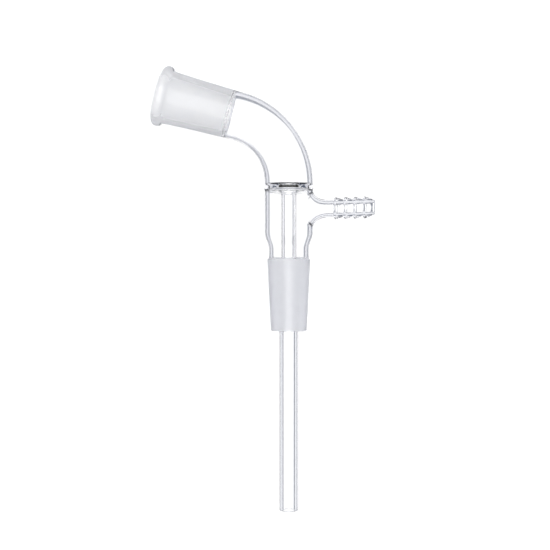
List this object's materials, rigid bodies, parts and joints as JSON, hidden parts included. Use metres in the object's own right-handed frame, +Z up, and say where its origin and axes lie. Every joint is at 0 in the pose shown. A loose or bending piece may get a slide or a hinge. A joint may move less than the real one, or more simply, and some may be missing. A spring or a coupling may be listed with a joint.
{
  "type": "vacuum take-off adapter",
  "caption": "Bent glass distillation adapter with a ground socket, a ground cone around a long drip tube, and a serrated side arm for a vacuum hose.",
  "frame": {"origin": "middle of the ground cone's wide end, on the drip tube's axis", "axes": "+Z up from the bench that the adapter lies on, +Y along the drip tube away from its tip, +X towards the hose barb"},
  "size_m": [0.1254, 0.2482, 0.0342],
  "materials": {
    "glass": "clear borosilicate glass, fire polished, with finely ground white tapers on the socket and the cone"
  },
  "bodies": {
    "root": {"glass": "glass"}
  },
  "joints": []
}
